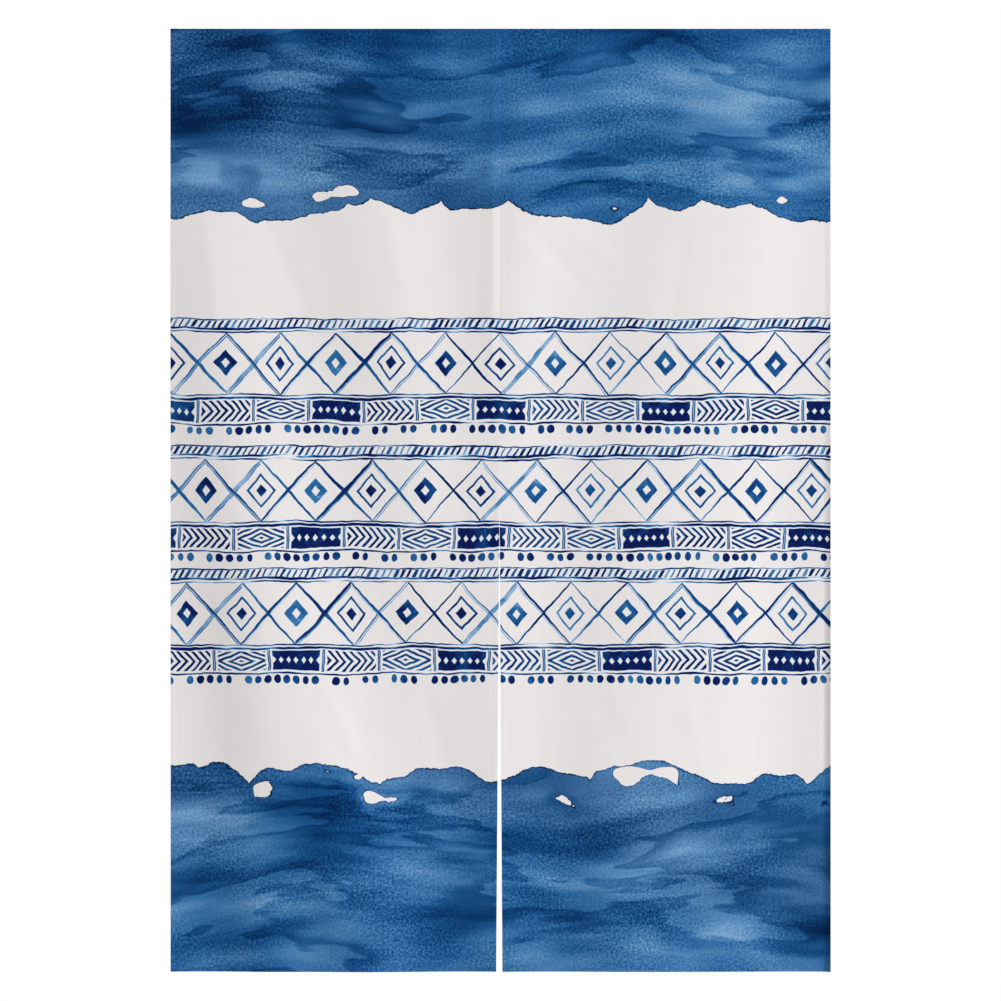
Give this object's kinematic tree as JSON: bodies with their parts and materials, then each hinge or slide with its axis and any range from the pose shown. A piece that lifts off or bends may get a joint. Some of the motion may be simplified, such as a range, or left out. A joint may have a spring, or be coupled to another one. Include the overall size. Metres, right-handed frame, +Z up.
{
  "type": "noren curtain",
  "caption": "Split doorway curtain of two printed cloth panels, closed along the upper middle and open below, hung from its top edge.",
  "frame": {"origin": "middle of the top edge, on the face that is seen, where a rod or hanging strip would hold the curtain", "axes": "+Z up along the drop, +X to the viewer's right along the width, -Y towards the viewer"},
  "size_m": [0.8411, 0.0149, 1.2001],
  "materials": {
    "printed_cloth": "matte plain-weave cloth, pale ground printed in indigo"
  },
  "bodies": {
    "root": {"left_panel": "printed_cloth", "right_panel": "printed_cloth"}
  },
  "joints": []
}
